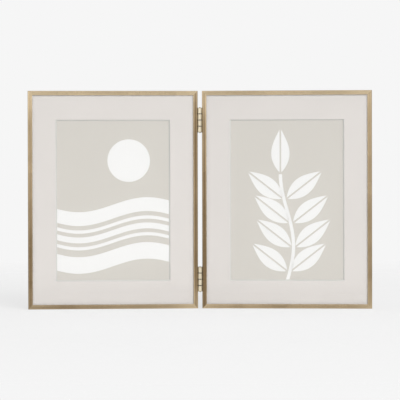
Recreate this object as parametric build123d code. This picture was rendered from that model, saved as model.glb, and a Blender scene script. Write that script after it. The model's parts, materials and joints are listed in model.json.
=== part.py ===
from build123d import *

import math
import os

# Hinged double photo frame: two glazed brass frames that open like a book on a pair of butt hinges.
# Millimetres. +Z is up and the pictures face -Y. The origin is on the surface that the frame stands
# on, under the middle of its box. It is modelled nearly flat open, as it stands on a shelf.

# Print and mat
PRINT_WIDTH = 127.0
PRINT_HEIGHT = 177.8
PRINT_THICKNESS = 0.3
PRINT_OVERLAP = 3.175  # strip of the print that the mat hides on each side
MAT_BORDER = 28.575  # mat board from its window's inner edge to its outer edge
MAT_THICKNESS = 1.5
MAT_BEVEL = 1.5  # width of the slope round the window

# Glass, backing board and the room they have
GLASS_THICKNESS = 1.0
BACKING_THICKNESS = 3.0
LAYER_GAP = 0.1  # air between one layer of the stack and the next
PANE_CLEARANCE = 0.3  # between the stack's edges and the rails, at its foot and its sides
HEAD_ROOM = 1.5  # between the stack's head and the top rail

# Rails: an L section whose lip holds the glass, with a groove for the clips in its wall
RAIL_WALL = 2.4
RAIL_LIP = 0.5  # thickness of the lip, front to back
GLASS_OVERLAP = 2.1  # strip of the glass that the lip hides
BACK_RECESS = 8.3  # from the backing board's rear face to the rails' rear edge
FRONT_ROUND = 1.2
LIP_ROUND = 0.3
REAR_ROUND = 0.3

# Hinges
OPEN_ANGLE = 171.0  # between the two leaves as modelled
HINGE_LENGTH = 26.4
HINGE_INSET = 18.4  # from the top or bottom of the frame to the nearer end of a hinge
KNUCKLE_COUNT = 4
KNUCKLE_GAP = 0.5
KNUCKLE_ROUND = 0.4
BARREL_DIAMETER = 4.1
BARREL_CLEARANCE = 0.15  # between the barrel and the side of a rail
AXIS_PROUD = 0.8  # the pin's axis stands this far in front of the rails' faces
PIN_DIAMETER = 2.2
PIN_PLAY = 0.05
PIN_TIP = 0.8  # length of the domed tip at each end
PIN_CROWN = 0.8  # most of the pin's radius that a tip may round off, as a share of it
PLATE_THICKNESS = 1.0
PLATE_DEPTH = 10.5  # from the pin's axis to the plate's rear edge
PLATE_ROUND = 1.2
NOTCH_CLEARANCE = 0.4  # between a plate and the other plate's knuckles

# Hinge screws
SCREW_DIAMETER = 1.8
SCREW_HEAD_DIAMETER = 3.4
SCREW_HEAD_HEIGHT = 0.8
SCREW_CLEARANCE = 0.05
SCREW_SKIN = 0.6  # metal left between a screw's tip and the inside of the rail
SCREW_INSET = 6.2  # from the end of a hinge plate
SCREW_SETBACK = 6.2  # from the pin's axis
SLOT_WIDTH = 0.5
SLOT_DEPTH = 0.4

# Turn clips and their rivets
CLIP_WIDTH = 8.0
CLIP_THICKNESS = 0.8
CLIP_REACH = 14.0  # from the rivet to the tip
CLIP_TAIL = 8.0  # from the rivet to the finger lip
CLIP_LIP = 3.2  # height of the finger lip
CLIP_BEND = 0.5  # inner radius of the finger lip's bend
CLIP_LIP_ROUND = 1.5
CLIP_STEP = 0.8  # the tip stands this much further back than the foot
CLIP_STEP_RUN = 2.0
CLIP_STEP_CLEARANCE = 0.8  # between the rivet's head and the step
CLIP_ENTRY = 0.9  # how far the tip stands in the groove
GROOVE_CLEARANCE = 0.3  # round the tip in the groove
RIVET_DIAMETER = 3.0
RIVET_HEAD_DIAMETER = 5.4
RIVET_HEAD_HEIGHT = 1.0
RIVET_HEAD_ROUND = 0.8
RIVET_FLARE = 0.9  # length of the cone that widens the rivet at the board's front face
RIVET_PLAY = 0.05

# Stack, front to back, from the rails' front face
WINDOW_WIDTH = PRINT_WIDTH - 2 * PRINT_OVERLAP
WINDOW_HEIGHT = PRINT_HEIGHT - 2 * PRINT_OVERLAP
PANE_WIDTH = WINDOW_WIDTH + 2 * MAT_BORDER
PANE_HEIGHT = WINDOW_HEIGHT + 2 * MAT_BORDER
GLASS_FRONT = RAIL_LIP + LAYER_GAP
MAT_FRONT = GLASS_FRONT + GLASS_THICKNESS + LAYER_GAP
PRINT_FRONT = MAT_FRONT + MAT_THICKNESS + LAYER_GAP
BACKING_FRONT = PRINT_FRONT + PRINT_THICKNESS + LAYER_GAP
BACKING_BACK = BACKING_FRONT + BACKING_THICKNESS
CLIP_FRONT = BACKING_BACK + RIVET_PLAY
RIVET_HEAD_FRONT = CLIP_FRONT + CLIP_THICKNESS + RIVET_PLAY

# Leaves
RAIL_FACE = RAIL_WALL + PANE_CLEARANCE + GLASS_OVERLAP
RAIL_DEPTH = BACKING_BACK + BACK_RECESS
LEAF_WIDTH = PANE_WIDTH + 2 * (PANE_CLEARANCE + RAIL_WALL)
LEAF_HEIGHT = PANE_HEIGHT + PANE_CLEARANCE + HEAD_ROOM + 2 * RAIL_WALL
HALF_GAP = BARREL_DIAMETER / 2 + BARREL_CLEARANCE
LEAF_CENTRE = HALF_GAP + LEAF_WIDTH / 2
STACK_CENTRE = RAIL_WALL + PANE_CLEARANCE + PANE_HEIGHT / 2  # height of the middle of the panes
LEAF_YAW = (180.0 - OPEN_ANGLE) / 2
GROOVE_FRONT = CLIP_FRONT + CLIP_STEP - GROOVE_CLEARANCE
GROOVE_BACK = CLIP_FRONT + CLIP_STEP + CLIP_THICKNESS + GROOVE_CLEARANCE
GROOVE_DEPTH = CLIP_ENTRY + GROOVE_CLEARANCE
RIVET_INSET = RAIL_WALL + CLIP_REACH - CLIP_ENTRY  # from a rail's outer face

# Where the pin's axis stands so that the box of the whole frame is centred on the origin
YAW_SIN = math.sin(math.radians(LEAF_YAW))
YAW_COS = math.cos(math.radians(LEAF_YAW))
OUTER_ROUND_X = HALF_GAP + LEAF_WIDTH - FRONT_ROUND
REAR_ROUND_Y = AXIS_PROUD + RAIL_DEPTH - REAR_ROUND
FOREMOST = (AXIS_PROUD + FRONT_ROUND) * YAW_COS - OUTER_ROUND_X * YAW_SIN - FRONT_ROUND
REARMOST = REAR_ROUND_Y * YAW_COS - (HALF_GAP + REAR_ROUND) * YAW_SIN + REAR_ROUND
AXIS_Y = -(FOREMOST + REARMOST) / 2

# Knuckles, counted from the bottom of a hinge
LEFT_KNUCKLES = range(0, KNUCKLE_COUNT, 2)
RIGHT_KNUCKLES = range(1, KNUCKLE_COUNT, 2)
KNUCKLE_PITCH = (HINGE_LENGTH + KNUCKLE_GAP) / KNUCKLE_COUNT
KNUCKLE_LENGTH = KNUCKLE_PITCH - KNUCKLE_GAP
HINGE_BASES = {"lower": HINGE_INSET, "upper": LEAF_HEIGHT - HINGE_INSET - HINGE_LENGTH}

# The sides of a leaf, each with the middle of its outer face
SIDES = {
    "bottom": (LEAF_CENTRE, 0),
    "top": (LEAF_CENTRE, LEAF_HEIGHT),
    "hinge": (HALF_GAP, LEAF_HEIGHT / 2),
    "outer": (HALF_GAP + LEAF_WIDTH, LEAF_HEIGHT / 2),
}

ON_BASE = (Align.CENTER, Align.CENTER, Align.MIN)  # round pieces are made standing on their base


# A leaf is made lying along +X: its front face in the plane Y = 0, its foot at Z = 0 and the pin's
# axis at X = 0, AXIS_PROUD in front of that plane. The pieces of the left leaf are its mirror image.


def on_side(piece, side):
    """A piece made for the middle of the bottom side, moved to a side and turned to look inwards."""
    x, z = SIDES[side]
    turn = math.degrees(math.atan2(LEAF_CENTRE - x, LEAF_HEIGHT / 2 - z))
    return Pos(x, 0, z) * Rot(0, turn, 0) * piece


def standing(piece, hand):
    """A piece of a leaf, moved to where the left or right leaf stands."""
    swung = Pos(0, AXIS_Y, 0) * Rot(0, 0, -LEAF_YAW) * Pos(0, AXIS_PROUD, 0) * piece
    return swung if hand == "right" else mirror(swung, about=Plane.YZ)


def slab(width, height, front, thickness):
    """A sheet of the stack, at the stack's middle."""
    middle = Pos(LEAF_CENTRE, front + thickness / 2, STACK_CENTRE)
    return middle * Box(width, thickness, height)


# Rails


def rail_section():
    """The rail's section: x runs in from its outer face and y back from its front face."""
    outline = Polyline(
        (0, 0),
        (RAIL_FACE, 0),
        (RAIL_FACE, RAIL_LIP),
        (RAIL_WALL, RAIL_LIP),
        (RAIL_WALL, GROOVE_FRONT),
        (RAIL_WALL - GROOVE_DEPTH, GROOVE_FRONT),
        (RAIL_WALL - GROOVE_DEPTH, GROOVE_BACK),
        (RAIL_WALL, GROOVE_BACK),
        (RAIL_WALL, RAIL_DEPTH),
        (0, RAIL_DEPTH),
        close=True,
    )
    section = make_face(outline)
    rear_corners = section.vertices().group_by(Axis.Y)[-1]
    section = fillet(rear_corners, REAR_ROUND)
    outer_corner = section.vertices().sort_by_distance((0, 0))[0]
    section = fillet(outer_corner, FRONT_ROUND)
    lip_corner = section.vertices().sort_by_distance((RAIL_FACE, 0))[0]
    return fillet(lip_corner, LIP_ROUND)


def rail(length):
    """A mitred rail for the bottom side: its outer face is down, centred on the origin."""
    section_plane = Plane(origin=(length / 2, 0, 0), x_dir=(0, 0, 1), z_dir=(-1, 0, 0))
    bar = extrude(section_plane * rail_section(), length)
    mitred = Polyline(
        (-length / 2, 0),
        (length / 2, 0),
        (length / 2 - RAIL_FACE, RAIL_FACE),
        (-length / 2 + RAIL_FACE, RAIL_FACE),
        close=True,
    )
    return bar & extrude(Plane.XZ * make_face(mitred), -RAIL_DEPTH)


# Stack


def mat():
    """The mat board, with its window's edges sloping in towards the print."""
    board = slab(PANE_WIDTH, PANE_HEIGHT, MAT_FRONT, MAT_THICKNESS)
    facing = Plane(origin=(LEAF_CENTRE, MAT_FRONT, STACK_CENTRE), x_dir=(1, 0, 0), z_dir=(0, -1, 0))
    wide_end = facing * Rectangle(WINDOW_WIDTH + 2 * MAT_BEVEL, WINDOW_HEIGHT + 2 * MAT_BEVEL)
    narrow_end = facing.offset(-MAT_THICKNESS) * Rectangle(WINDOW_WIDTH, WINDOW_HEIGHT)
    return board - loft([wide_end, narrow_end], ruled=True)


def rivet(play=0.0):
    """A rivet for the middle of the bottom side, or with play, the hole that it needs."""
    radius = RIVET_DIAMETER / 2 + play
    length = RIVET_HEAD_FRONT - BACKING_FRONT
    along = Plane(origin=(0, BACKING_FRONT, RIVET_INSET), z_dir=(0, 1, 0))
    flare = Cone(radius + RIVET_FLARE, radius, RIVET_FLARE, align=ON_BASE)
    shank = Cylinder(radius, length, align=ON_BASE)
    return along * (flare + shank)


def headed_rivet():
    """A rivet with its domed head, behind the clip."""
    along = Plane(origin=(0, RIVET_HEAD_FRONT, RIVET_INSET), z_dir=(0, 1, 0))
    head = Cylinder(RIVET_HEAD_DIAMETER / 2, RIVET_HEAD_HEIGHT, align=ON_BASE)
    head = fillet(head.edges().group_by(Axis.Z)[-1], RIVET_HEAD_ROUND)
    return rivet() + along * head


def backing_board():
    """The backing board, with a hole for each rivet."""
    board = slab(PANE_WIDTH, PANE_HEIGHT, BACKING_FRONT, BACKING_THICKNESS)
    for side in SIDES:
        board -= on_side(rivet(RIVET_PLAY), side)
    return board


def turn_clip():
    """A turn clip for the middle of the bottom side, its tip in the groove."""
    step_start = RIVET_HEAD_DIAMETER / 2 + CLIP_STEP_CLEARANCE
    step_end = step_start + CLIP_STEP_RUN
    lean = CLIP_THICKNESS * math.tan(math.atan2(CLIP_STEP, CLIP_STEP_RUN) / 2)
    tip_front = CLIP_FRONT + CLIP_STEP
    lip_root = (CLIP_THICKNESS - CLIP_TAIL, CLIP_FRONT + CLIP_THICKNESS)
    outline = Polyline(
        (-CLIP_TAIL, CLIP_FRONT),
        (step_start, CLIP_FRONT),
        (step_end, tip_front),
        (CLIP_REACH, tip_front),
        (CLIP_REACH, tip_front + CLIP_THICKNESS),
        (step_end - lean, tip_front + CLIP_THICKNESS),
        (step_start - lean, CLIP_FRONT + CLIP_THICKNESS),
        lip_root,
        (CLIP_THICKNESS - CLIP_TAIL, CLIP_FRONT + CLIP_LIP),
        (-CLIP_TAIL, CLIP_FRONT + CLIP_LIP),
        close=True,
    )
    strip = make_face(outline)
    inner_bend = strip.vertices().sort_by_distance(lip_root)[0]
    strip = fillet(inner_bend, CLIP_BEND)
    outer_bend = strip.vertices().sort_by_distance((-CLIP_TAIL, CLIP_FRONT))[0]
    strip = fillet(outer_bend, CLIP_BEND + CLIP_THICKNESS)
    side_view = Plane(origin=(0, 0, RIVET_INSET), x_dir=(0, 0, -1), z_dir=(1, 0, 0))
    bent = extrude(side_view * strip, CLIP_WIDTH / 2, both=True)
    lip_corners = bent.edges().filter_by(Axis.Z).group_by(Axis.Y)[-1]
    bent = fillet(lip_corners, CLIP_LIP_ROUND)
    tip_centre = RIVET_INSET - CLIP_REACH + CLIP_WIDTH / 2
    square_end = Rectangle(CLIP_WIDTH, CLIP_REACH + CLIP_TAIL, align=(Align.CENTER, Align.MIN))
    rounded_blank = Circle(CLIP_WIDTH / 2) + square_end
    rear_view = Plane(origin=(0, 0, tip_centre), x_dir=(1, 0, 0), z_dir=(0, -1, 0))
    blank = extrude(rear_view * rounded_blank, -RAIL_DEPTH)
    return (bent & blank) - rivet(RIVET_PLAY)


# Hinges


def knuckle_base(number):
    """Height of a knuckle above its hinge's lower end."""
    return number * KNUCKLE_PITCH


def screw_form(clearance=0.0):
    """A countersunk screw along +X, its head's flat at X = 0, or with a clearance, its hole."""
    radius = SCREW_DIAMETER / 2 + clearance
    length = PLATE_THICKNESS + RAIL_WALL - SCREW_SKIN + clearance
    head_radius = SCREW_HEAD_DIAMETER / 2 + clearance
    head = Cone(head_radius, radius, SCREW_HEAD_HEIGHT, align=ON_BASE)
    shank = Cylinder(radius, length, align=ON_BASE)
    return Rot(0, 90, 0) * (head + shank)


def screw():
    """A screw with a slotted head."""
    slot = Box(2 * SLOT_DEPTH, SCREW_HEAD_DIAMETER, SLOT_WIDTH)
    return screw_form() - slot


def screw_places():
    """Where the screws of one leaf go, on the faces of the hinge plates that look into the gap."""
    for base in HINGE_BASES.values():
        for height in (base + SCREW_INSET, base + HINGE_LENGTH - SCREW_INSET):
            yield Pos(HALF_GAP - PLATE_THICKNESS, SCREW_SETBACK - AXIS_PROUD, height)


def hinge_plate(base, own_knuckles):
    """A hinge plate with its knuckles, on the side of the leaf."""
    lying_in = (Align.MAX, Align.MIN, Align.MIN)
    plate = Pos(HALF_GAP, 0, 0) * Box(PLATE_THICKNESS, PLATE_DEPTH, HINGE_LENGTH, align=lying_in)
    rear_corners = plate.edges().filter_by(Axis.X).group_by(Axis.Y)[-1]
    plate = fillet(rear_corners, PLATE_ROUND)
    notch_depth = BARREL_DIAMETER / 2 + NOTCH_CLEARANCE
    notch_height = KNUCKLE_LENGTH + 2 * KNUCKLE_GAP
    notch = Box(2 * BARREL_DIAMETER, notch_depth, notch_height, align=(Align.CENTER, Align.MIN, Align.MIN))
    barrel = Cylinder(BARREL_DIAMETER / 2, KNUCKLE_LENGTH, align=ON_BASE)
    knuckle = fillet(barrel.edges().filter_by(GeomType.CIRCLE), KNUCKLE_ROUND)
    for number in range(KNUCKLE_COUNT):
        if number in own_knuckles:
            plate += Pos(0, 0, knuckle_base(number)) * knuckle
        else:
            plate -= Pos(0, 0, knuckle_base(number) - KNUCKLE_GAP) * notch
    bore = Cylinder(PIN_DIAMETER / 2 + PIN_PLAY, 2 * HINGE_LENGTH)
    plate = Pos(0, -AXIS_PROUD, base) * (plate - bore)
    for place in screw_places():
        plate -= place * screw_form(SCREW_CLEARANCE)
    return plate


def hinge_pin(base):
    """A hinge pin with a domed tip at each end, standing where the leaves meet."""
    pin = Cylinder(PIN_DIAMETER / 2, HINGE_LENGTH + 2 * PIN_TIP)
    pin = fillet(pin.edges().filter_by(GeomType.CIRCLE), min(PIN_TIP, PIN_CROWN * PIN_DIAMETER / 2))
    return Pos(0, AXIS_Y, base + HINGE_LENGTH / 2) * pin


# Assembly


def leaf_pieces(own_knuckles):
    """The pieces of one leaf by name, lying along +X."""
    pieces = {
        "glass": slab(PANE_WIDTH, PANE_HEIGHT, GLASS_FRONT, GLASS_THICKNESS),
        "mat": mat(),
        "print": slab(PRINT_WIDTH, PRINT_HEIGHT, PRINT_FRONT, PRINT_THICKNESS),
        "backing_board": backing_board(),
        "clip_rivets": Part() + [on_side(headed_rivet(), side) for side in SIDES],
        "hinge_screws": Part() + [place * screw() for place in screw_places()],
    }
    for side in SIDES:
        length = LEAF_WIDTH if side in ("top", "bottom") else LEAF_HEIGHT
        pieces[f"{side}_rail"] = on_side(rail(length), side)
        pieces[f"{side}_clip"] = on_side(turn_clip(), side)
    for place in screw_places():
        pieces["hinge_rail"] -= place * screw_form(SCREW_CLEARANCE)
    for level, base in HINGE_BASES.items():
        pieces[f"{level}_hinge_plate"] = hinge_plate(base, own_knuckles)
    return pieces


os.makedirs("parts", exist_ok=True)
for hand, own_knuckles in (("left", LEFT_KNUCKLES), ("right", RIGHT_KNUCKLES)):
    for name, piece in leaf_pieces(own_knuckles).items():
        export_step(standing(piece, hand), f"parts/{hand}_{name}.step")
for level, base in HINGE_BASES.items():
    export_step(hinge_pin(base), f"parts/{level}_hinge_pin.step")
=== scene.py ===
"""Looks of the hinged double photo frame, built around its CAD pieces."""

import json
import math

import bmesh
import bpy
from mathutils import Euler, Matrix, Vector


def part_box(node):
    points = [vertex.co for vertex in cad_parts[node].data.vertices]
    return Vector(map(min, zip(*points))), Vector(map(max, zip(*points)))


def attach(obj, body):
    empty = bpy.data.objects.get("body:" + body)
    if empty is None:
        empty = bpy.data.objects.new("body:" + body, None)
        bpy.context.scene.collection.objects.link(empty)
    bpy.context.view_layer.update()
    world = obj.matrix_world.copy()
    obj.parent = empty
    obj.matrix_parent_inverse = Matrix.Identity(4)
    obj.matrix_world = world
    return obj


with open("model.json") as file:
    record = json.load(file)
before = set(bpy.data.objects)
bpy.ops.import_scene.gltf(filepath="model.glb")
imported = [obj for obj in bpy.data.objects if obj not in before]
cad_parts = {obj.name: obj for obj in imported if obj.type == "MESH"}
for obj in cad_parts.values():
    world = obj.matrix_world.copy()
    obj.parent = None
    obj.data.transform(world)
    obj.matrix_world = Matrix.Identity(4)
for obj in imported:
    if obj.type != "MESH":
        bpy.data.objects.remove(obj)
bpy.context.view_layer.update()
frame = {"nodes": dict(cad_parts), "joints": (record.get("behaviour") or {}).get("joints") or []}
nodes = frame["nodes"]

HANDS = ("left", "right")
SIDES = ("bottom", "top", "hinge", "outer")
LEVEL_SIDES = ("bottom", "top")
HINGES = ("lower", "upper")
RIGHT = Vector((1, 0, 0))
UP = Vector((0, 0, 1))
MM = 0.001

# Camera: metres, with the lens and its sensor in millimetres and the angles in degrees
CAMERA_PLACE = (0.0, -2.6, 0.15)
CAMERA_LENS = 216.47
CAMERA_SENSOR = 36.0
CAMERA_REACH = 50.0
CAMERA_PITCH = -0.722
CAMERA_ROLL = -0.138

# Colours, linear
BACKGROUND = (0.922, 0.922, 0.922)
FLOOR_COLOUR = (0.94, 0.94, 0.94)
MAT_COLOUR = (0.768, 0.728, 0.697)
# the mat's core, painted greyer than the face as shade on the slope round its window
SHADED_CORE_COLOUR = (0.68, 0.665, 0.64)
PRINT_COLOUR = (0.688, 0.656, 0.602)
INK_COLOUR = (0.955, 0.95, 0.94)
BRASS_LIGHT = (0.80, 0.64, 0.42)
BRASS_DARK = (0.21, 0.143, 0.076)
HINGE_LIGHT = (0.80, 0.715, 0.545)
HINGE_DARK = (0.22, 0.175, 0.105)
PIN_SHADE = (0.10, 0.075, 0.045)  # the pin between the knuckles, painted dark as the shade in the gaps between them
STEEL_LIGHT = (0.66, 0.66, 0.65)
STEEL_DARK = (0.42, 0.42, 0.41)
FLOCK_LIGHT = (0.060, 0.057, 0.054)
FLOCK_DARK = (0.028, 0.027, 0.026)
GLASS_TINT = (0.996, 0.997, 0.996)
MIRROR_TINT = (1.0, 1.0, 1.0)

# Grain of the surfaces: noise scales per metre
STREAK_SCALES = (14, 3200, 3200)  # along the brushing, and across it both ways
HAIRLINE_SCALES = (50, 9000, 9000)
MOTTLE_SCALE = 28
MAT_TOOTH_SCALE = 1900
MAT_CLOUD_SCALE = 14
PAPER_GRAIN_SCALE = 2600
FLOCK_FIBRE_SCALE = 1500
FLOCK_CLOUD_SCALE = 24
NOISE_RANGE = (0.3, 0.7)  # the values between which most of a noise lies

# Relief of the surfaces: strength, and depth in metres
HAIRLINE_BUMP = (0.25, 0.00004)
MAT_BUMP = (0.35, 0.00008)
PAPER_BUMP = (0.2, 0.00004)
FLOCK_BUMP = (0.6, 0.0002)

# Brushed metal: its tone is how much of the lighter colour shows
ANISOTROPY = 0.7
STREAK_SHARE = 0.04  # how far a streak strays from the tone
MOTTLE_SHARE = 0.32  # how far a spot strays from the tone, at full patina
HALF_PATINA = 0.5
LIGHT_PATINA = 0.3
WEAR_RANGE = (0.35, 0.65)  # wear of the dullest and of the smoothest spots
DULLEST = 0.07  # added to the roughness of the dullest spots
SMOOTHEST = -0.06  # added to that of the smoothest
RAIL_ROUGHNESS = 0.27
HINGE_ROUGHNESS = 0.30
PIN_ROUGHNESS = 0.35
SCREW_ROUGHNESS = 0.34
CLIP_ROUGHNESS = 0.28
RIVET_ROUGHNESS = 0.30
HINGE_TONE = 0.95
PIN_TONE = 0.9
SCREW_TONE = 0.6
STEEL_TONE = 0.7

# Tone of each rail, from its foot to its head or from the hinge outwards: painted reflections, lighter and
# darker along it
RAIL_REFLECTION_TONES = {
    "left": {"top": (0.82, 0.97), "bottom": (0.62, 0.30), "outer": (0.02, 0.68), "hinge": (0.48, 0.46)},
    "right": {"top": (0.78, 0.97), "bottom": (0.47, 0.56), "outer": (0.38, 0.48), "hinge": (0.10, 0.72)},
}

# Tone lost along the middle of each rail's face: a painted darker reflection, which leaves its edges lighter
FACE_DARK_REFLECTION = {"top": 0.16, "bottom": 0.22, "outer": 0.18, "hinge": 0.58}

# Tone gained towards the corners: a painted glint
CORNER_REACH = 0.035  # metres
CORNER_GLINT = 0.30

# Hinges: tone lost as painted shade beside the rails, at the seams of the knuckles and on the pin inside them
KNUCKLE_COUNT = 4
KNUCKLE_GAP = 0.0005  # metres
RECESS_RANGE = (0.45, 0.95)  # in radii of the barrel
RECESS_SHADE = 0.25
SEAM_RANGE = (0.05, 0.11)  # in knuckles
SEAM_SHADE = 0.62
PIN_PAINTED_SHADE = 2.0

# Board, paper, glass and flock
MAT_CLOUD_SHARE = 0.6  # share of its unevenness that is cloudy, where its tooth makes up the rest
MAT_DIP = 0.965  # brightness of its darkest spots
MAT_ROUGHNESS = 0.95
MAT_SHINE = 0.2
SLOPE_MARGIN = 0.00002  # metres past the slope of a mat's window that still show its core
PAPER_DIP = 0.955
PAPER_ROUGHNESS = 0.85
PAPER_SHINE = 0.25
GLASS_MIRROR = 0.04  # share of light that a face of the glass mirrors, seen straight on
GLASS_ROUGHNESS = 0.02
GRAZING_POWER = 5.0  # how steeply that share rises as the glass is seen more from the side
FLOCK_CLOUD_SHARE = 0.35  # likewise, where its fibres make up the rest
FLOCK_ROUGHNESS = 0.95
FLOCK_SHINE = 0.15
FLOCK_SHEEN = 0.25


# Leaf directions


def back_of(hand):
    """The direction out of a leaf's back: the axis that its clips turn about."""
    for joint in frame["joints"]:
        if joint["child"] == f"{hand}_bottom_clip":
            return Vector(joint["axis"]).normalized()
    raise LookupError(hand)


BACKS = {hand: back_of(hand) for hand in HANDS}
RIGHTS = {hand: BACKS[hand].cross(UP) for hand in HANDS}
OUTWARDS = {"left": -RIGHTS["left"], "right": RIGHTS["right"]}


# Node helpers


def shader_node(tree, kind, inputs=None, **settings):
    """A shader node whose inputs, by name or number, are values or other nodes' outputs."""
    made = tree.nodes.new(kind)
    for key, value in settings.items():
        setattr(made, key, value)
    for key, value in (inputs or {}).items():
        if isinstance(value, bpy.types.NodeSocket):
            tree.links.new(value, made.inputs[key])
        else:
            made.inputs[key].default_value = value
    return made


def new_material(name, constants=None):
    """A material with its tree and its main shader, whose sockets take the constants."""
    material = bpy.data.materials.new(name)
    material.use_nodes = True
    tree = material.node_tree
    shader = tree.nodes["Principled BSDF"]
    for socket, value in (constants or {}).items():
        shader.inputs[socket].default_value = value
    return material, tree, shader


def show(tree, surface):
    """Makes a shader the one that a material shows."""
    output = tree.nodes["Material Output"]
    tree.links.new(surface.outputs[0], output.inputs["Surface"])


def opaque(colour):
    return (*colour, 1.0)


def mixed(tree, factor, first, second):
    """A colour between two, given as colours or as outputs."""
    inputs = {0: factor}
    for key, colour in ((6, first), (7, second)):
        inputs[key] = colour if isinstance(colour, bpy.types.NodeSocket) else opaque(colour)
    return shader_node(tree, "ShaderNodeMix", inputs, data_type="RGBA").outputs[2]


def mixed_shader(tree, factor, first, second):
    inputs = {0: factor, 1: first.outputs[0], 2: second.outputs[0]}
    return shader_node(tree, "ShaderNodeMixShader", inputs)


def maths(tree, operation, first, second=0.0):
    inputs = {0: first, 1: second}
    return shader_node(tree, "ShaderNodeMath", inputs, operation=operation).outputs[0]


def vector_maths(tree, operation, first, second=(0, 0, 0)):
    inputs = {0: first, 1: second}
    return shader_node(tree, "ShaderNodeVectorMath", inputs, operation=operation).outputs


def object_coordinates(tree):
    return shader_node(tree, "ShaderNodeTexCoord").outputs["Object"]


def along_axis(tree, coordinates, axis, scale=1.0):
    """How far a point lies along an axis, times a scale."""
    return vector_maths(tree, "DOT_PRODUCT", coordinates, Vector(axis) * scale)["Value"]


def in_axes(tree, coordinates, axes, scales):
    """Coordinates along three axes, each with its own scale."""
    parts = [along_axis(tree, coordinates, axis, scale) for axis, scale in zip(axes, scales)]
    return shader_node(tree, "ShaderNodeCombineXYZ", dict(enumerate(parts))).outputs[0]


def distance_from(tree, place, middle):
    return maths(tree, "ABSOLUTE", maths(tree, "SUBTRACT", place, middle))


def noise(tree, coordinates, scale=1.0, detail=3.0, roughness=0.55):
    inputs = {"Vector": coordinates, "Scale": scale, "Detail": detail, "Roughness": roughness}
    return shader_node(tree, "ShaderNodeTexNoise", inputs).outputs["Fac"]


def stretched(tree, value, low, high, to_low=0.0, to_high=1.0):
    """A value taken from one range to another and kept inside it."""
    inputs = {0: value, 1: low, 2: high, 3: to_low, 4: to_high}
    return shader_node(tree, "ShaderNodeMapRange", inputs).outputs[0]


def uneven(tree, fine, coarse, coarse_share):
    """Two noises as one value from 0 to 1, of which the coarse one makes up a share."""
    coarse_part = stretched(tree, coarse, *NOISE_RANGE, 0.0, coarse_share)
    fine_part = stretched(tree, fine, *NOISE_RANGE, 0.0, 1.0 - coarse_share)
    return maths(tree, "ADD", coarse_part, fine_part)


def ray_kind(tree, kind):
    """1 for rays of a kind and 0 for the rest."""
    return shader_node(tree, "ShaderNodeLightPath").outputs[f"Is {kind} Ray"]


def seen_directly(tree):
    """1 for rays from the camera, in mirrors and through glass, and 0 for the rest."""
    mirrored = maths(tree, "MAXIMUM", ray_kind(tree, "Glossy"), ray_kind(tree, "Transmission"))
    return maths(tree, "MAXIMUM", ray_kind(tree, "Camera"), mirrored)


def bumped(tree, shader, height, bump):
    """Gives a shader relief by a height, with a strength and a depth."""
    strength, depth = bump
    inputs = {"Height": height, "Strength": strength, "Distance": depth}
    relief = shader_node(tree, "ShaderNodeBump", inputs)
    tree.links.new(relief.outputs[0], shader.inputs["Normal"])


# Metals


def ends_along(node, axis):
    """Where a CAD piece starts and ends along an axis."""
    places = [v.co.dot(axis) for v in nodes[node].data.vertices]
    return min(places), max(places)


def brushed_metal(name, grain, light, dark, tone, roughness, patina_and_dark_reflection=HALF_PATINA, shade=None):
    """Metal brushed along its grain, mottled between a light and a dark colour.

    What shade gives, for the tree and its coordinates, is added to the tone.
    """
    material, tree, shader = new_material(name, {"Metallic": 1.0, "Anisotropic": ANISOTROPY})
    grain = Vector(grain).normalized()
    side = grain.orthogonal().normalized()
    axes = (grain, side, grain.cross(side))
    coordinates = object_coordinates(tree)
    streaks = noise(tree, in_axes(tree, coordinates, axes, STREAK_SCALES), roughness=0.6)
    hairlines = noise(tree, in_axes(tree, coordinates, axes, HAIRLINE_SCALES), detail=2.0)
    mottle = noise(tree, coordinates, MOTTLE_SCALE, detail=5.0, roughness=0.62)

    mottle_share = MOTTLE_SHARE * patina_and_dark_reflection
    streak_part = stretched(tree, streaks, *NOISE_RANGE, -STREAK_SHARE, STREAK_SHARE)
    mottle_part = stretched(tree, mottle, *NOISE_RANGE, -mottle_share, mottle_share)
    share = maths(tree, "ADD", maths(tree, "ADD", streak_part, mottle_part), tone)
    if shade:
        share = maths(tree, "ADD", share, shade(tree, coordinates))
    share = maths(tree, "MAXIMUM", maths(tree, "MINIMUM", share, 1.0), 0.0)
    tree.links.new(mixed(tree, share, dark, light), shader.inputs["Base Color"])

    wear = maths(tree, "MULTIPLY", maths(tree, "ADD", mottle, streaks), 0.5)
    rough = stretched(tree, wear, *WEAR_RANGE, roughness + DULLEST, roughness + SMOOTHEST)
    tree.links.new(rough, shader.inputs["Roughness"])
    bumped(tree, shader, hairlines, HAIRLINE_BUMP)

    turned = {"vector_type": "VECTOR", "convert_from": "OBJECT", "convert_to": "WORLD"}
    world_grain = shader_node(tree, "ShaderNodeVectorTransform", {0: grain}, **turned).outputs[0]
    normal = shader_node(tree, "ShaderNodeNewGeometry").outputs["Normal"]
    across = vector_maths(tree, "CROSS_PRODUCT", normal, world_grain)["Vector"]
    tree.links.new(across, shader.inputs["Tangent"])
    return material


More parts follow.
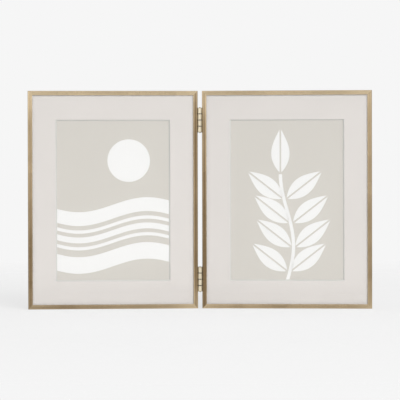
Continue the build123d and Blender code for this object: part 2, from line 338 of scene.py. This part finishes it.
def rail_brass(hand, side):
    """Brass for one rail, with painted reflections: its tone changes along it, gains a painted glint at its
    ends and is lower along its middle as a painted darker reflection.
    """
    node = f"{hand}_{side}_rail"
    grain = OUTWARDS[hand] if side in LEVEL_SIDES else UP
    inwards = {"bottom": UP, "top": -UP, "hinge": OUTWARDS[hand], "outer": -OUTWARDS[hand]}[side]
    start, end = ends_along(node, grain)
    middle = (start + end) / 2
    half_length = (end - start) / 2
    outer_face, inner_edge = ends_along(node, inwards)
    face_middle = (outer_face + inner_edge) / 2
    half_width = (inner_edge - outer_face) / 2

    def shade(tree, coordinates):
        along = along_axis(tree, coordinates, grain)
        across = along_axis(tree, coordinates, inwards)
        # painted reflections: lighter and darker along the rail
        tone = stretched(tree, along, start, end, *RAIL_REFLECTION_TONES[hand][side])
        from_middle = distance_from(tree, along, middle)
        # painted glint towards each end of the rail
        glint = stretched(tree, from_middle, half_length - CORNER_REACH, half_length, 0.0, CORNER_GLINT)
        # painted darker reflection along the middle of the face
        aside = distance_from(tree, across, face_middle)
        patina_and_dark_reflection = stretched(tree, aside, 0.0, half_width, FACE_DARK_REFLECTION[side], 0.0)
        return maths(tree, "SUBTRACT", maths(tree, "ADD", tone, glint), patina_and_dark_reflection)

    name = f"{hand}_{side}_brass"
    return brushed_metal(name, grain, BRASS_LIGHT, BRASS_DARK, 0.0, RAIL_ROUGHNESS, LIGHT_PATINA, shade)


def clip_steel(hand, side):
    """Nickelled steel for one turn clip, brushed along it."""
    name = f"{hand}_{side}_steel"
    grain = UP if side in LEVEL_SIDES else RIGHTS[hand]
    return brushed_metal(name, grain, STEEL_LIGHT, STEEL_DARK, STEEL_TONE, CLIP_ROUGHNESS, LIGHT_PATINA)


def hinge_brass(level):
    """Brass for a hinge: bright in front, with painted shade beside the rails and where two knuckles meet."""
    low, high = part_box(f"left_{level}_hinge_plate")
    barrel_radius = high.x
    pitch = (high.z - low.z + KNUCKLE_GAP) / KNUCKLE_COUNT
    first_seam = low.z - KNUCKLE_GAP / 2

    def shade(tree, coordinates):
        # painted shade beside the rails and at the seams between knuckles
        aside = maths(tree, "ABSOLUTE", along_axis(tree, coordinates, RIGHT, 1 / barrel_radius))
        recess = stretched(tree, aside, *RECESS_RANGE, 0.0, -RECESS_SHADE)
        knuckles = maths(tree, "SUBTRACT", along_axis(tree, coordinates, UP, 1 / pitch), first_seam / pitch)
        step = maths(tree, "FRACT", knuckles)
        from_seam = maths(tree, "MINIMUM", step, maths(tree, "SUBTRACT", 1.0, step))
        return maths(tree, "ADD", recess, stretched(tree, from_seam, *SEAM_RANGE, -SEAM_SHADE, 0.0))

    name = f"{level}_hinge_brass"
    return brushed_metal(name, UP, HINGE_LIGHT, HINGE_DARK, HINGE_TONE, HINGE_ROUGHNESS, LIGHT_PATINA, shade)


def pin_brass(level):
    """Brass for a hinge pin: bright at its tips and, inside the knuckles, painted dark as the shade in the
    gaps between them.
    """
    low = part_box(f"left_{level}_hinge_plate")[0].z
    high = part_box(f"right_{level}_hinge_plate")[1].z

    def shade(tree, coordinates):
        # painted shade on the pin inside the knuckles
        height = along_axis(tree, coordinates, UP)
        above = maths(tree, "GREATER_THAN", height, low)
        below = maths(tree, "LESS_THAN", height, high)
        return maths(tree, "MULTIPLY", maths(tree, "MULTIPLY", above, below), -PIN_PAINTED_SHADE)

    name = f"{level}_pin_brass"
    return brushed_metal(name, UP, HINGE_LIGHT, PIN_SHADE, PIN_TONE, PIN_ROUGHNESS, shade=shade)


# Board, paper, glass and flock


def dimmed(colour, share):
    return tuple(share * part for part in colour)


def mat_board(hand):
    """Mat board, whose core shows on the slope round its window, painted a shade greyer than its face as
    shade on that slope.
    """
    constants = {"Roughness": MAT_ROUGHNESS, "Specular IOR Level": MAT_SHINE}
    material, tree, shader = new_material(f"{hand}_mat_board", constants)
    coordinates = object_coordinates(tree)
    tooth = noise(tree, coordinates, MAT_TOOTH_SCALE, detail=4.0, roughness=0.6)
    cloud = noise(tree, coordinates, MAT_CLOUD_SCALE)
    share = uneven(tree, tooth, cloud, MAT_CLOUD_SHARE)
    face = mixed(tree, share, dimmed(MAT_COLOUR, MAT_DIP), MAT_COLOUR)
    low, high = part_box(f"{hand}_mat")
    corners = [v.co for v in nodes[f"{hand}_mat"].data.vertices]
    on_slope = 1.0
    for axis in (RIGHTS[hand], UP):
        middle = (low + high).dot(axis) / 2
        rings = sorted({round(abs(corner.dot(axis) - middle), 5) for corner in corners})
        slope_edge = rings[1] + SLOPE_MARGIN
        aside = distance_from(tree, along_axis(tree, coordinates, axis), middle)
        on_slope = maths(tree, "MULTIPLY", maths(tree, "LESS_THAN", aside, slope_edge), on_slope)
    # painted shade: the slope shows the core's greyer colour
    tree.links.new(mixed(tree, on_slope, face, SHADED_CORE_COLOUR), shader.inputs["Base Color"])
    bumped(tree, shader, tooth, MAT_BUMP)
    return material


def paper(name, colour):
    constants = {"Roughness": PAPER_ROUGHNESS, "Specular IOR Level": PAPER_SHINE}
    material, tree, shader = new_material(name, constants)
    grain = noise(tree, object_coordinates(tree), PAPER_GRAIN_SCALE, roughness=0.6)
    share = stretched(tree, grain, *NOISE_RANGE)
    tree.links.new(mixed(tree, share, dimmed(colour, PAPER_DIP), colour), shader.inputs["Base Color"])
    bumped(tree, shader, grain, PAPER_BUMP)
    return material


def clear_glass():
    """Clear glass, which mirrors more as it is seen more from the side."""
    material, tree, shader = new_material("glass")
    tree.nodes.remove(shader)
    clear = shader_node(tree, "ShaderNodeBsdfTransparent", {"Color": opaque(GLASS_TINT)})
    gloss_inputs = {"Color": opaque(MIRROR_TINT), "Roughness": GLASS_ROUGHNESS}
    gloss = shader_node(tree, "ShaderNodeBsdfGlossy", gloss_inputs)
    facing = shader_node(tree, "ShaderNodeLayerWeight", {"Blend": 0.5}).outputs["Facing"]
    grazing = maths(tree, "POWER", facing, GRAZING_POWER)
    mirrored = stretched(tree, grazing, 0.0, 1.0, GLASS_MIRROR, 1.0)
    show(tree, mixed_shader(tree, mirrored, clear, gloss))
    return material


def flock():
    constants = {"Roughness": FLOCK_ROUGHNESS, "Specular IOR Level": FLOCK_SHINE, "Sheen Weight": FLOCK_SHEEN}
    material, tree, shader = new_material("flock", constants)
    coordinates = object_coordinates(tree)
    fibre = noise(tree, coordinates, FLOCK_FIBRE_SCALE, detail=5.0, roughness=0.7)
    cloud = noise(tree, coordinates, FLOCK_CLOUD_SCALE, detail=4.0)
    share = uneven(tree, fibre, cloud, FLOCK_CLOUD_SHARE)
    tree.links.new(mixed(tree, share, FLOCK_DARK, FLOCK_LIGHT), shader.inputs["Base Color"])
    bumped(tree, shader, fibre, FLOCK_BUMP)
    return material


# Materials of the CAD pieces


def paint(node, material):
    """Gives a CAD piece its material."""
    mesh = nodes[node].data
    mesh.materials.clear()
    mesh.materials.append(material)


SCREW_GRAIN = RIGHT
RIVET_GRAIN = RIGHT + UP
glass = clear_glass()
print_paper = paper("print_paper", PRINT_COLOUR)
ink = paper("ink", INK_COLOUR)
backing = flock()
screw_brass = brushed_metal("screw_brass", SCREW_GRAIN, HINGE_LIGHT, HINGE_DARK, SCREW_TONE, SCREW_ROUGHNESS)
rivet_steel = brushed_metal(
    "rivet_steel", RIVET_GRAIN, STEEL_LIGHT, STEEL_DARK, STEEL_TONE, RIVET_ROUGHNESS, LIGHT_PATINA
)

for hand in HANDS:
    for side in SIDES:
        paint(f"{hand}_{side}_rail", rail_brass(hand, side))
        paint(f"{hand}_{side}_clip", clip_steel(hand, side))
    paint(f"{hand}_glass", glass)
    paint(f"{hand}_mat", mat_board(hand))
    paint(f"{hand}_print", print_paper)
    paint(f"{hand}_backing_board", backing)
    paint(f"{hand}_clip_rivets", rivet_steel)
    paint(f"{hand}_hinge_screws", screw_brass)

for level in HINGES:
    paint(f"{level}_hinge_pin", pin_brass(level))
    knuckle_brass = hinge_brass(level)
    for hand in HANDS:
        paint(f"{hand}_{level}_hinge_plate", knuckle_brass)


# Printed designs: outlines in millimetres from the middle of the print, x to the viewer's right

INK_THICKNESS = 0.05
FEW_CORNERS = 4  # a face with more is cut into triangles


def print_place(hand):
    """Places drawings on the front of a leaf's print."""
    low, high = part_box(f"{hand}_print")
    middle = (low + high) / 2
    depths = [(v.co - middle).dot(BACKS[hand]) for v in nodes[f"{hand}_print"].data.vertices]
    origin = middle + BACKS[hand] * min(depths)
    axes = Matrix((RIGHTS[hand], UP, -BACKS[hand])).transposed()
    return Matrix.Translation(origin) @ axes.to_4x4()


def inked(name, hand, outlines):
    """Puts a layer of ink on a leaf's print: each outline is a closed ring of points."""
    form = bmesh.new()
    for outline in outlines:
        ring = [form.verts.new((x * MM, y * MM, INK_THICKNESS * MM)) for x, y in outline]
        foot = [form.verts.new((x * MM, y * MM, 0)) for x, y in outline]
        form.faces.new(ring)
        for i, corner in enumerate(ring):
            j = (i + 1) % len(ring)
            form.faces.new((foot[i], foot[j], ring[j], corner))
    bmesh.ops.triangulate(form, faces=[f for f in form.faces if len(f.verts) > FEW_CORNERS])
    bmesh.ops.recalc_face_normals(form, faces=form.faces)
    mesh = bpy.data.meshes.new(name)
    form.to_mesh(mesh)
    form.free()
    mesh.materials.append(ink)
    layer = bpy.data.objects.new(name, mesh)
    bpy.context.scene.collection.objects.link(layer)
    layer.matrix_world = print_place(hand)
    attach(layer, f"{hand}_leaf")


# Left print: a disc over wavy bands

PRINT_HALF_WIDTH = 63.0
DISC_CENTRE = (17.0, 43.0)
DISC_RADIUS = 23.0
DISC_STEPS = 96
HILLS = ((-12.0, 15.0), (-26.0, 3.6), (-35.0, 6.4), (-44.0, 3.6), (-62.0, 18.0))  # height and thickness
HILL_RISE = 8.0
HILL_LENGTH = 148.0
HILL_STEPS = 60


def disc():
    x, y = DISC_CENTRE
    angles = [2 * math.pi * step / DISC_STEPS for step in range(DISC_STEPS)]
    return [(x + DISC_RADIUS * math.cos(angle), y + DISC_RADIUS * math.sin(angle)) for angle in angles]


def hill(height, thickness):
    """A wavy band right across the print."""
    xs = [PRINT_HALF_WIDTH * (2 * i / HILL_STEPS - 1) for i in range(HILL_STEPS + 1)]
    middle = [(x, height + HILL_RISE * math.sin(2 * math.pi * x / HILL_LENGTH)) for x in xs]
    lower = [(x, y - thickness / 2) for x, y in middle]
    upper = [(x, y + thickness / 2) for x, y in middle]
    return lower + upper[::-1]


inked("left_print_ink", "left", [disc()] + [hill(height, thickness) for height, thickness in HILLS])


# Right print: a sprig, with leaves in pairs up its stem and one at its tip

STEM_WIDTH = 3.6
STEM_BOTTOM = -88.0
STEM_TOP = 28.0
STEM_SWAY = 7.0
STEM_BOWS = 1.5  # half waves from its bottom to its top
STEM_STEPS = 48
LEAF_LENGTH = 46.0
LEAF_WIDTH = 18.0
LEAF_VEIN = 1.8  # gap between a leaf's two halves
LEAF_FULLNESS = 0.85  # under 1, a leaf is widest nearer its base
LEAF_EDGE = 0.02  # width that is left at a leaf's ends
LEAF_STEPS = 28
LEAF_TURN = 52.0  # degrees from the stem
LEAF_HEIGHTS = (-80.0, -54.0, -28.0, -2.0)
LEAF_LIFT = 4.0  # from those heights to the leaves' bases
LEAF_GAP = 1.0  # between the stem and a leaf beside it
TIP_GAP = 2.0  # between the stem and the leaf at its tip


def stem_x(y):
    """Where the stem's middle is at a height."""
    share = (y - STEM_BOTTOM) / (STEM_TOP - STEM_BOTTOM)
    return STEM_SWAY * math.sin(math.pi * share * STEM_BOWS)


def stem():
    ys = [STEM_BOTTOM + (STEM_TOP - STEM_BOTTOM) * i / STEM_STEPS for i in range(STEM_STEPS + 1)]
    left = [(stem_x(y) - STEM_WIDTH / 2, y) for y in ys]
    right = [(stem_x(y) + STEM_WIDTH / 2, y) for y in ys]
    return left + right[::-1]


def leaf(base, turn):
    """A leaf's two halves, each a bow from its base to its tip on one side of the vein."""
    direction = math.radians(90 - turn)
    length = Vector((math.cos(direction), math.sin(direction)))
    halves = []
    for sign in (-1, 1):
        across = Vector((-length.y, length.x)) * sign
        vein = []
        bow = []
        for step in range(LEAF_STEPS + 1):
            t = step / LEAF_STEPS
            width = max(LEAF_WIDTH / 2 * math.sin(math.pi * t ** LEAF_FULLNESS), LEAF_EDGE)
            start = Vector(base) + length * (LEAF_LENGTH * t) + across * LEAF_VEIN / 2
            vein.append(start)
            bow.append(start + across * width)
        halves.append(vein + bow[::-1])
    return halves


def sprig():
    outlines = [stem()]
    for height in LEAF_HEIGHTS:
        for sign in (-1, 1):
            base = (stem_x(height) + sign * (STEM_WIDTH / 2 + LEAF_GAP), height + LEAF_LIFT)
            outlines += leaf(base, sign * LEAF_TURN)
    return outlines + leaf((stem_x(STEM_TOP), STEM_TOP + TIP_GAP), 0.0)


inked("right_print_ink", "right", sprig())


# Floor

FLOOR_SIZE = 6.0
FLOOR_FADE = (0.5, 1.4)  # radii between which the floor fades into the background
MIRRORED_FADE = (0.1, 0.6)  # the same radii, as mirrors show the floor
FLOOR_GLOW = 0.68  # share of the floor's white that no shadow dims, as seen directly
FLOOR_ROUGHNESS = 0.9
FLOOR_SHINE = 0.1


def floor_white():
    """White that fades into the background and keeps the object's shadow."""
    constants = {
        "Base Color": opaque(FLOOR_COLOUR),
        "Roughness": FLOOR_ROUGHNESS,
        "Specular IOR Level": FLOOR_SHINE,
    }
    material, tree, shader = new_material("floor", constants)
    radius = vector_maths(tree, "LENGTH", object_coordinates(tree))["Value"]
    mirrored_fade = maths(tree, "MULTIPLY", ray_kind(tree, "Glossy"), stretched(tree, radius, *MIRRORED_FADE))
    fade = maths(tree, "MAXIMUM", stretched(tree, radius, *FLOOR_FADE), mirrored_fade)
    white = shader_node(tree, "ShaderNodeEmission", {"Color": opaque(BACKGROUND)})
    glow = maths(tree, "MULTIPLY", seen_directly(tree), FLOOR_GLOW)
    lit = mixed_shader(tree, glow, shader, white)
    clear = shader_node(tree, "ShaderNodeBsdfTransparent")
    show(tree, mixed_shader(tree, fade, lit, clear))
    return material


bpy.ops.mesh.primitive_plane_add(size=FLOOR_SIZE)
floor = bpy.context.object
floor.name = "floor"
floor.data.materials.append(floor_white())


# World

AMBIENT = (0.27, 0.27, 0.27)
# What mirrors show of the studio, from underfoot to overhead: how high up, as a sine, and how bright
STUDIO_BANDS = (
    (-1.0, 0.22), (-0.12, 0.25), (-0.04, 0.95), (0.10, 0.95), (0.20, 0.35),
    (0.58, 0.35), (0.72, 0.9), (0.95, 0.9), (1.0, 0.6),
)
STUDIO_LIGHT = 1.3  # brightness of a band of 1, in front of the object
STUDIO_BACK = 0.4  # brightness behind the object, as a share of that in front
STUDIO_TURN = (-0.5, 0.4)  # depths, as sines, between which the front's brightness gives way to the back's

world = bpy.data.worlds.new("studio")
bpy.context.scene.world = world
world.use_nodes = True
tree = world.node_tree
tree.nodes.clear()
generated = shader_node(tree, "ShaderNodeTexCoord").outputs["Generated"]
direction = shader_node(tree, "ShaderNodeSeparateXYZ", {0: generated}).outputs
bands = shader_node(tree, "ShaderNodeValToRGB", {0: stretched(tree, direction["Z"], -1.0, 1.0)})
ramp = bands.color_ramp
while len(ramp.elements) < len(STUDIO_BANDS):
    ramp.elements.new(1.0)
for element, (sine, brightness) in zip(ramp.elements, STUDIO_BANDS):
    element.position = (sine + 1) / 2
    element.color = opaque((brightness,) * 3)
depth = stretched(tree, direction["Y"], *STUDIO_TURN, STUDIO_LIGHT, STUDIO_LIGHT * STUDIO_BACK)
studio = maths(tree, "MULTIPLY", bands.outputs[0], depth)
seen = mixed(tree, ray_kind(tree, "Glossy"), BACKGROUND, studio)
glow = mixed(tree, seen_directly(tree), AMBIENT, seen)
background = shader_node(tree, "ShaderNodeBackground", {"Color": glow, "Strength": 1.0})
shader_node(tree, "ShaderNodeOutputWorld", {"Surface": background.outputs[0]})


# Lamps: places and sides in metres, power in watts

FRAME_MIDDLE = (0.0, 0.0, 0.12)
KEY_PLACE = (1.63, -3.65, 2.15)
KEY_SIDE = 2.56
KEY_POWER = 130.0
FILL_PLACE = (-1.9, -1.9, 0.9)
FILL_SIDE = 2.0
FILL_POWER = 4.0
TOP_PLACE = (0.0, 0.8, 2.4)
TOP_TARGET = (0.0, 0.1, 0.0)
TOP_SIDE = 3.6
TOP_POWER = 35.0


def square_lamp(name, place, target, side, power, mirrored):
    """A soft square lamp, which shows in mirrors or doesn't."""
    light = bpy.data.lights.new(name, "AREA")
    light.shape = "SQUARE"
    light.size = side
    light.energy = power
    lamp = bpy.data.objects.new(name, light)
    lamp.location = place
    lamp.rotation_euler = (Vector(target) - Vector(place)).to_track_quat("-Z", "Y").to_euler()
    lamp.visible_glossy = mirrored
    bpy.context.scene.collection.objects.link(lamp)


square_lamp("key", KEY_PLACE, FRAME_MIDDLE, KEY_SIDE, KEY_POWER, mirrored=False)
square_lamp("fill", FILL_PLACE, FRAME_MIDDLE, FILL_SIDE, FILL_POWER, mirrored=True)
square_lamp("top", TOP_PLACE, TOP_TARGET, TOP_SIDE, TOP_POWER, mirrored=False)


# Camera

camera_data = bpy.data.cameras.new("camera")
camera_data.lens = CAMERA_LENS
camera_data.sensor_width = CAMERA_SENSOR
camera_data.clip_end = CAMERA_REACH
camera = bpy.data.objects.new("camera", camera_data)
tilt = Euler((math.radians(90 + CAMERA_PITCH), 0, 0)).to_matrix()
roll = Matrix.Rotation(math.radians(CAMERA_ROLL), 3, "Z")
camera.matrix_world = Matrix.Translation(CAMERA_PLACE) @ (tilt @ roll).to_4x4()
bpy.context.scene.collection.objects.link(camera)
bpy.context.scene.camera = camera
bpy.context.scene.view_settings.view_transform = "Standard"
